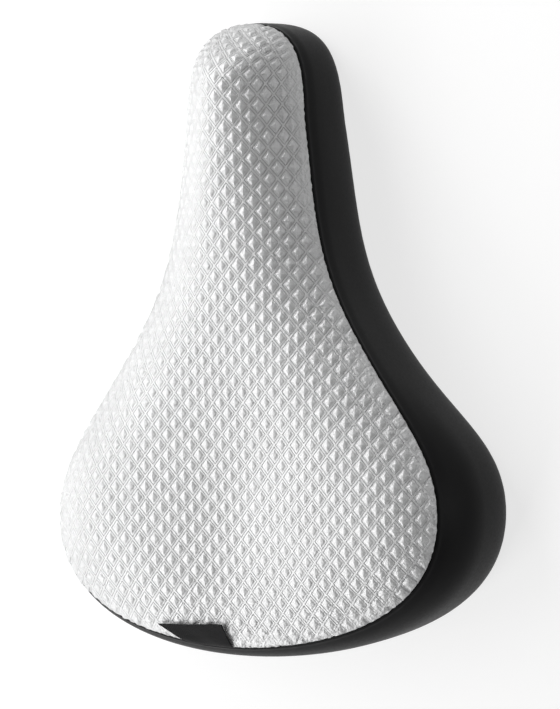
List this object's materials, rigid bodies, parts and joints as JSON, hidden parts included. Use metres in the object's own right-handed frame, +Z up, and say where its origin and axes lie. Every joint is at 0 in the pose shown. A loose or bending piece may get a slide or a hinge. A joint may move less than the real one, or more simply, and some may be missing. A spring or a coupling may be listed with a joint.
{
  "type": "bike saddle cover",
  "caption": "Slip-on bike saddle cover: embossed top panel sewn to a smooth side band with an elasticated hem and a bare rear tab.",
  "frame": {"origin": "on the floor, under the middle of the cover's box", "axes": "+Y towards the nose, +X to the rider's right, +Z up"},
  "size_m": [0.21, 0.2783, 0.0711],
  "materials": {
    "pearl_vinyl": "pearl white vinyl embossed with small pyramids, soft gloss",
    "black_vinyl": "smooth near-black vinyl, satin",
    "elastic_webbing": "woven black elastic, matt",
    "tab_ribbon": "bare black woven ribbon, matt"
  },
  "bodies": {
    "root": {"top_panel": "pearl_vinyl", "side_band": "black_vinyl", "hem_elastic": "elastic_webbing", "rear_label": "tab_ribbon"}
  },
  "joints": []
}
